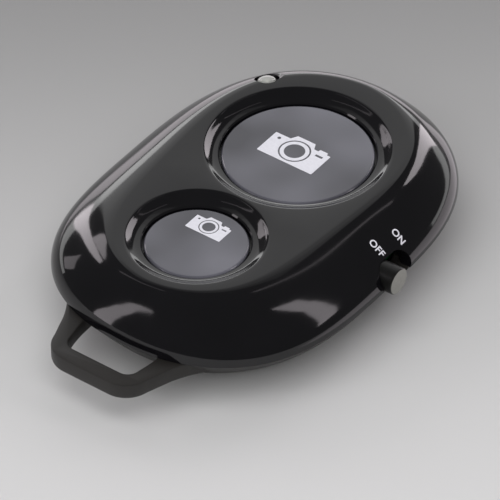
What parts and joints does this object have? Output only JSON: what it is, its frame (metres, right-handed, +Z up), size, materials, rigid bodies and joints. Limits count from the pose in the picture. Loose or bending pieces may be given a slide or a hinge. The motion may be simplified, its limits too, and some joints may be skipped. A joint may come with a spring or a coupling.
{
  "type": "camera shutter remote",
  "caption": "Oval hand-held camera shutter remote with a large and a small round push button in dished wells, a side slide switch, a status lamp, a sliding battery cover and a strap loop.",
  "frame": {"origin": "centre of the housing's flat back, which lies on z = 0", "axes": "+Y along the length towards the large button's end, with the strap loop at -Y; +X to the slide switch's side; +Z up through the buttons"},
  "size_m": [0.034, 0.0515, 0.0104],
  "materials": {
    "gloss_shell": "polished moulded ABS, gloss black",
    "matte_shell": "fine textured moulded ABS, satin dark grey",
    "button_plastic": "moulded ABS, black",
    "button_disc": "glossy printed disc, grey with white print",
    "board": "glass-epoxy board with green solder mask",
    "copper": "printed copper trace",
    "chip": "moulded epoxy package",
    "ceramic_parts": "ceramic resistors and capacitors",
    "tinned_steel": "tinned sheet and wire",
    "switch_base": "moulded switch base",
    "switch_plunger": "moulded plunger, off-white",
    "knob": "moulded knob, satin dark grey",
    "clear_lens": "clear epoxy lens",
    "cell_steel": "nickel-plated can",
    "contact_brass": "gold-flashed spring strip"
  },
  "bodies": {
    "housing": {"top_cover": "gloss_shell", "bottom_cover": "matte_shell", "circuit_board": "board", "board_antenna": "copper", "bluetooth_chip": "chip", "crystal": "tinned_steel", "chip_parts": "ceramic_parts", "large_switch_base": "switch_base", "large_switch_dome": "tinned_steel", "large_switch_frame": "tinned_steel", "small_switch_base": "switch_base", "small_switch_dome": "tinned_steel", "small_switch_frame": "tinned_steel", "power_switch_base": "switch_base", "power_switch_frame": "tinned_steel", "status_led": "clear_lens", "led_leads": "tinned_steel", "coin_cell": "cell_steel", "negative_contact": "contact_brass", "positive_contact": "contact_brass", "board_screws": "tinned_steel", "case_screws": "tinned_steel"},
    "large_button": {"large_button": "button_plastic", "large_button_disc": "button_disc", "large_switch_plunger": "switch_plunger"},
    "small_button": {"small_button": "button_plastic", "small_button_disc": "button_disc", "small_switch_plunger": "switch_plunger"},
    "power_slider": {"power_switch_slider": "button_plastic", "power_switch_knob": "knob"},
    "battery_cover": {"battery_cover": "matte_shell"}
  },
  "joints": [
    {"name": "large_button_press", "type": "slide", "parent": "housing", "child": "large_button", "axis": [0, 0, -1], "range_m": [0, 0.0003], "stiffness_N_per_m": 5000, "springref_m": -0.00004, "deforming": ["large_switch_dome"]},
    {"name": "small_button_press", "type": "slide", "parent": "housing", "child": "small_button", "axis": [0, 0, -1], "range_m": [0, 0.0003], "stiffness_N_per_m": 5000, "springref_m": -0.00004, "deforming": ["small_switch_dome"]},
    {"name": "power_switch_slide", "type": "slide", "parent": "housing", "child": "power_slider", "axis": [0, 1, 0], "range_m": [0, 0.002]},
    {"name": "battery_cover_slide", "type": "slide", "parent": "housing", "child": "battery_cover", "axis": [0, 1, 0], "range_m": [0, 0.022]}
  ]
}
